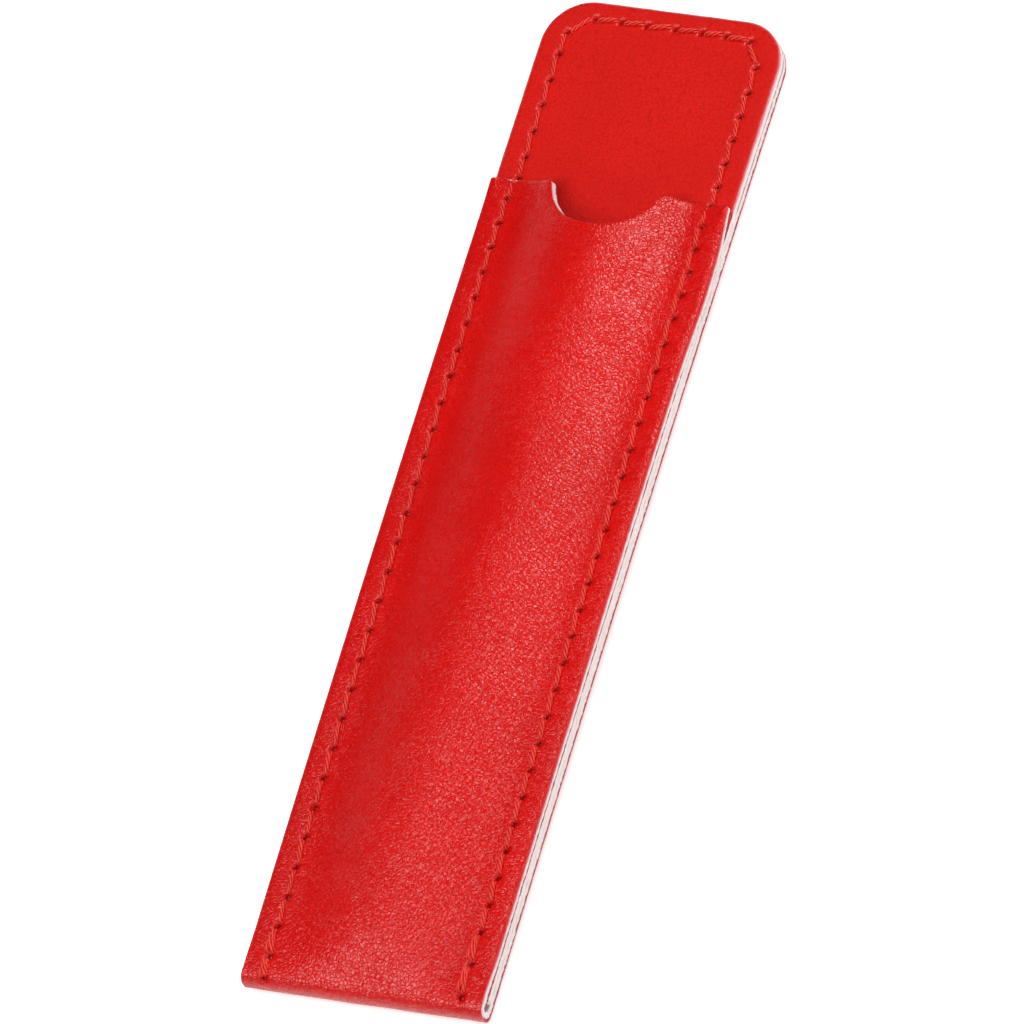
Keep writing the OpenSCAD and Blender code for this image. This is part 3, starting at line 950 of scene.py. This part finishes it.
class PENSLEEVE_OT_outer_strip(bpy.types.Operator):
    """Cuts the outer strip from its flat pattern and folds it into back, fold and front"""
    bl_idname = "pensleeve.outer_strip"
    bl_label = "Outer strip"

    def execute(self, context):
        m = sizes()
        finish = context.scene.sleeve_finish
        mouth = m.mouth_y - m.fold_y
        # The leaf's seam ends here, a little round the fold, and the back's starts below it
        leaf_end, back_start = -2.0, -m.fold_turn - 2.4
        on_leaf = [(x, y - m.fold_y) for x, y in m.left_holes + m.right_holes]
        on_back = [(x, m.fold_y - m.fold_turn - max(y, m.bottom_y + BACK_SEAM_LOW))
                   for x, y in m.all_holes]
        holes = on_leaf + on_back

        def gap_of(p):
            """Distance from the seam's two lines on the leaf and its line on the back"""
            x, v = p[:, 0], p[:, 1]
            on_back_gap = seam_gap(m, x, m.fold_y - m.fold_turn - v)
            return np.where(v > leaf_end, np.abs(np.abs(x) - m.seam_x), on_back_gap)

        flat = pattern(strip_outline(m), holes, gap_of, STRIP_STEP)
        points, gap, normals = flat.points, flat.gap, rim_normals(flat)
        x, v = points[:, 0], points[:, 1]
        bend = (v < leaf_end) & (v > back_start)
        groove_gap = np.where(bend, 9.0, gap_of(points))
        groove = np.where(v > leaf_end, m.groove, BACK_GROOVE)
        press = pressed(points, holes, groove_gap, groove, m)
        soft = waver(points / WAVE, STRIP_WAVE, 3.1) * smooth(gap / 3)
        by_side = np.abs(x) - m.half + SIDE_BAND
        rounded = np.where(by_side > 0, round_rim(gap, *SIDE_ROUND), round_rim(gap, *MOUTH_ROUND))
        rounded = rounded * smooth((v - 1.5) / 6)
        dent = press + soft + rounded
        ragged = waver(points * RAGGED_RATE, RAGGED, 8.7) * (gap < ON_RIM)
        side = np.where(v > 0, smooth(by_side / 0.8), 0.0)
        # The coat is drawn back where the left seam crosses the mouth's edge
        crushed = 0.55 * np.exp(-((x + m.seam_x) / 0.5) ** 2) * np.clip(1 - gap / 0.9, 0, 1) \
            * (v > mouth - 2)
        # Short slits open between the leaf and the lining along the sides
        slit = waver(points * (1, 0.55), 1.0, 2.2)
        slit = 0.20 * np.clip(slit * 2 + 0.45, 0, 1) * (gap < 0.4) * side

        def placer(levels, is_coat):
            """Rule for the points of a layer with its levels at the given depths"""
            def place(k, chosen):
                d = levels[k]
                shift = ragged[chosen] * (1.0 if d > m.coat else 0.6)
                if is_coat:
                    shift = shift - crushed[chosen]
                if d == 0.0:
                    shift = shift - (0.02 + 0.11 * side[chosen]) * (gap[chosen] < ON_RIM) \
                        - 0.03 * side[chosen] * (gap[chosen] < BESIDE_RIM)
                elif not is_coat and k not in (0, len(levels) - 1):
                    fibres = (points[chosen] * 1.7 + k * 3.3) * RAGGED_RATE
                    shift = shift + waver(fibres, RAGGED_CORE, k)
                px, pv = (points[chosen] + normals[chosen] * shift[:, None]).T
                lower = d + dent[chosen] * fading(m, d) - slit[chosen] * (d == m.sheet)
                return strip_points(m, px, pv, lower)

            return place

        coat = shell("outer_strip_coat_leather", flat, (0.0, m.coat), placer((0.0, m.coat), True),
                     {"press": lambda k, c: press[c], "edge": lambda k, c: side[c] * k})
        pebbled = red_leather("pebbled_red_leather", list(finish.red), finish.cell,
                              relief=0.000040, matt=0.25)
        settle(coat, pebbled, "red_coat", "outer_strip_coat")

        # Per core level: painted shade of the gap along the leaf's inner face, a dark line next to the
        # back's coat, grey glue behind the tongue
        leaf_shade, back_dark_and_glue = (0, 0, 0, 0.5, 1.6), (1.6, 0.6, 0, 0, -1.0)
        on_strip_leaf = v > -m.fold_turn / 2
        tongue = v < m.fold_y - m.fold_turn - m.mouth_y

        def dark_line_and_glue(k, c):
            """Painted shade on the leaf's inner face, dark under the back's coat, glue grey on the
            tongue
            """
            back = np.maximum(back_dark_and_glue[k], -1.0 * tongue[c])
            return leaf_shade[k] * on_strip_leaf[c] + back * ~on_strip_leaf[c]

        core = shell("outer_strip_core_leather", flat, m.core_levels, placer(m.core_levels, False),
                     {"edge": core_edge(m), "dark_line_and_glue": dark_line_and_glue})
        pale = cut_core("pale_cut_leather", list(finish.pale))
        settle(core, pale, "pale_core", "outer_strip_core")
        return {"FINISHED"}


class PENSLEEVE_OT_lining(bpy.types.Operator):
    """Cuts the lining and the glue under it"""
    bl_idname = "pensleeve.lining"
    bl_label = "Lining"

    def execute(self, context):
        m = sizes()
        finish = context.scene.sleeve_finish
        holes = m.all_holes[1:-1]
        flat = pattern(lining_outline(m), holes, lambda p: seam_gap(m, p[:, 0], p[:, 1]), LINING_STEP)
        points, gap, normals = flat.points, flat.gap, rim_normals(flat)
        x, y = points[:, 0], points[:, 1]
        on_tongue = y > m.mouth_y
        shown = smooth((y - m.mouth_y + 9) / 3)
        press = pressed(points, holes, seam_gap(m, x, y), m.groove, m) * shown
        soft = waver(points / WAVE, LINING_WAVE, 5.3) * smooth(gap / 3)
        dent = press + soft + round_rim(gap, *TONGUE_ROUND) * shown
        ragged = waver(points * RAGGED_RATE, RAGGED, 4.1) * (gap < ON_RIM)

        def laid(chosen, shift, z):
            """Points of the pattern shifted outwards at the rim, at a height over the table"""
            px, py = (points[chosen] + normals[chosen] * shift[:, None]).T
            return np.stack([px, py, z + bow(m, py)], 1)

        def placer(levels):
            """Rule for the points of a layer with its levels at the given depths"""
            def place(k, chosen):
                d = levels[k]
                shift = ragged[chosen]
                if d == 0.0:
                    back = 0.22 * (gap[chosen] < ON_RIM) + 0.10 * (gap[chosen] < BESIDE_RIM)
                    shift = shift - back * (0.3 + 0.7 * shown[chosen])
                elif k not in (0, len(levels) - 1):
                    fibres = (points[chosen] * 1.7 + k * 2.9) * RAGGED_RATE
                    shift = shift + waver(fibres, RAGGED_CORE, k + 20)
                return laid(chosen, shift, m.lining_face - d - dent[chosen] * fading(m, d))

            return place

        # Below the mouth the coat's lower face and cut edge are darkened: painted shade inside the
        # pocket, under the front
        coat = shell("lining_coat_leather", flat, (0.0, m.coat), placer((0.0, m.coat)),
                     {"press": lambda k, c: press[c] + 0.7 * k * (y[c] < m.mouth_y),
                      "edge": lambda k, c: smooth((y[c] - m.mouth_y + 1) / 2) * k})
        smoother = red_leather("smooth_red_leather", list(finish.lining_red), finish.cell * 1.1,
                               relief=0.000013, matt=0.30)
        settle(coat, smoother, "lining_coat", "lining_coat")

        def dark_line_and_glue(k, c):
            """Painted shade under the coat in the pocket, glue grey on the tongue"""
            glued = k == len(m.core_levels) - 1
            return 1.2 * (k == 0) * (y[c] < m.mouth_y) - 1.0 * glued * on_tongue[c]

        core = shell("lining_core_leather", flat, m.core_levels, placer(m.core_levels),
                     {"edge": core_edge(m), "dark_line_and_glue": dark_line_and_glue})
        settle(core, bpy.data.materials["pale_cut_leather"], "pale_core", "lining_core")

        def glue_place(k, chosen):
            """Points of the glue's upper and lower face, a little back from the edge"""
            back = 0.24 * (gap[chosen] < ON_RIM) + 0.16 * (gap[chosen] < BESIDE_RIM)
            lumps = waver(points[chosen] * 2.1 * RAGGED_RATE, RAGGED_GLUE, 31.0)
            back = back + lumps * (gap[chosen] < ON_RIM)
            return laid(chosen, -back, m.lining_low if k == 0 else m.sheet)

        glue = shell("glue_line", flat, (0, 1), glue_place, {})
        settle(glue, dried_glue("dried_glue", list(finish.glue)), "glue", "glue_film")
        return {"FINISHED"}


class PENSLEEVE_OT_needle_thread(bpy.types.Operator):
    """Sews the front: stitches up the left side, round the tongue and down the right side"""
    bl_idname = "pensleeve.needle_thread"
    bl_label = "Needle thread"

    def execute(self, context):
        m = sizes()
        up = (0.0, 0.0, 1.0)

        def at(hole, on_leaf):
            """The place over a hole where a stitch ends, on the leaf or on the lining"""
            x, y = hole
            z = (m.leaf_face if on_leaf else m.lining_face) + 0.03
            if y < m.fold_y:
                z = m.fold_r + math.sqrt(max(0, m.fold_r ** 2 - (m.fold_y - y) ** 2))
            return np.array((x, y, z + float(bow(m, y))))

        # Each stitch dips at one end, and at the mouth it goes down from the leaf to the lining
        low, down = (0, 0, 0.16), (0, 0, 0.9)
        rows = []
        left, right = m.left_holes, m.right_holes
        for i in range(len(left) - 2):
            slant = 7.5 + 2.0 * math.sin(i * 1.7)
            rows.append(stitch_row(at(left[i], True), at(left[i + 1], True) - low, up, slant,
                                   side=0.05))
        rows.append(stitch_row(at(left[-2], True), at(left[-1], True) - down, up, slant=5))
        tongue = [left[-1]] + m.tongue_holes + [right[0]]
        for i in range(len(tongue) - 1):
            slant = 8.5 + 2.0 * math.sin(i * 2.3)
            rows.append(stitch_row(at(tongue[i], False), at(tongue[i + 1], False), up, slant))
        rows.append(stitch_row(at(right[0], True) - down, at(right[1], True), up, slant=3))
        for i in range(1, len(right) - 1):
            slant = 7.0 + 2.0 * math.sin(i * 1.3)
            rows.append(stitch_row(at(right[i], True) - low, at(right[i + 1], True), up, slant,
                                   thick=1.12, side=-0.05))
        # The seam starts and ends with a few stitches sewn twice
        for run, sides in ((left[:3], (0.40, 0.34)), (right[-3:], (-0.36, -0.42))):
            for i, side in enumerate(sides):
                rows.append(stitch_row(at(run[i], True), at(run[i + 1], True), up, slant=-6.0,
                                       thick=1.05, side=side, lift=0.16))
        material = sewing_thread("red_sewing_thread", list(context.scene.sleeve_finish.thread))
        thread = sewn("needle_thread_sewn", rows, material, m, height=0.20, leg=0.75, steps=44,
                      sides=6, seed=7)
        settle(thread, material, "thread", "needle_thread")
        return {"FINISHED"}


class PENSLEEVE_OT_bobbin_thread(bpy.types.Operator):
    """Sews the back with the thread that locks the seam"""
    bl_idname = "pensleeve.bobbin_thread"
    bl_label = "Bobbin thread"

    def execute(self, context):
        m = sizes()
        down = (0.0, 0.0, -1.0)
        seats = [(x, max(y, m.bottom_y + BACK_SEAM_LOW), float(bow(m, y)) + m.thread / 2 + 0.02)
                 for x, y in m.all_holes]
        rows = [stitch_row(seats[i], seats[i + 1], down, -5.0 + 2 * math.sin(i * 1.9))
                for i in range(len(seats) - 1)
                if math.dist(seats[i], seats[i + 1]) > 1]
        material = bpy.data.materials["red_sewing_thread"]
        thread = sewn("bobbin_thread_sewn", rows, material, m, height=0.02, leg=0.6, steps=20,
                      sides=5, seed=11)
        settle(thread, material, "thread", "bobbin_thread")
        return {"FINISHED"}


class PENSLEEVE_PT_panel(bpy.types.Panel):
    """Sizes and steps of the sleeve in the sidebar"""
    bl_label = "Pen Sleeve"
    bl_space_type = "VIEW_3D"
    bl_region_type = "UI"
    bl_category = "Pen Sleeve"

    def draw(self, context):
        for step in OPERATORS:
            self.layout.operator(step.bl_idname)
        for key, group in PROPERTY_GROUPS:
            box = self.layout.box()
            box.label(text=group.__doc__)
            for name in group.__annotations__:
                box.prop(getattr(context.scene, key), name)


OPERATORS = (PENSLEEVE_OT_stage, PENSLEEVE_OT_outer_strip, PENSLEEVE_OT_lining,
             PENSLEEVE_OT_needle_thread, PENSLEEVE_OT_bobbin_thread)
CLASSES = tuple(group for _, group in PROPERTY_GROUPS) + OPERATORS + (PENSLEEVE_PT_panel,)


def register():
    """Adds the panel, the operators and their settings"""
    for cls in CLASSES:
        bpy.utils.register_class(cls)
    for key, group in PROPERTY_GROUPS:
        setattr(bpy.types.Scene, key, bpy.props.PointerProperty(type=group))


def unregister():
    """Takes them away again"""
    for key, _ in PROPERTY_GROUPS:
        delattr(bpy.types.Scene, key)
    for cls in reversed(CLASSES):
        bpy.utils.unregister_class(cls)


def main():
    """Builds the sleeve"""
    register()
    for step in ("stage", "outer_strip", "lining", "needle_thread", "bobbin_thread"):
        result = getattr(bpy.ops.pensleeve, step)()
        if result != {"FINISHED"}:
            raise RuntimeError(step + " did not finish")
    bpy.context.view_layer.update()


if __name__ == "__main__":
    main()
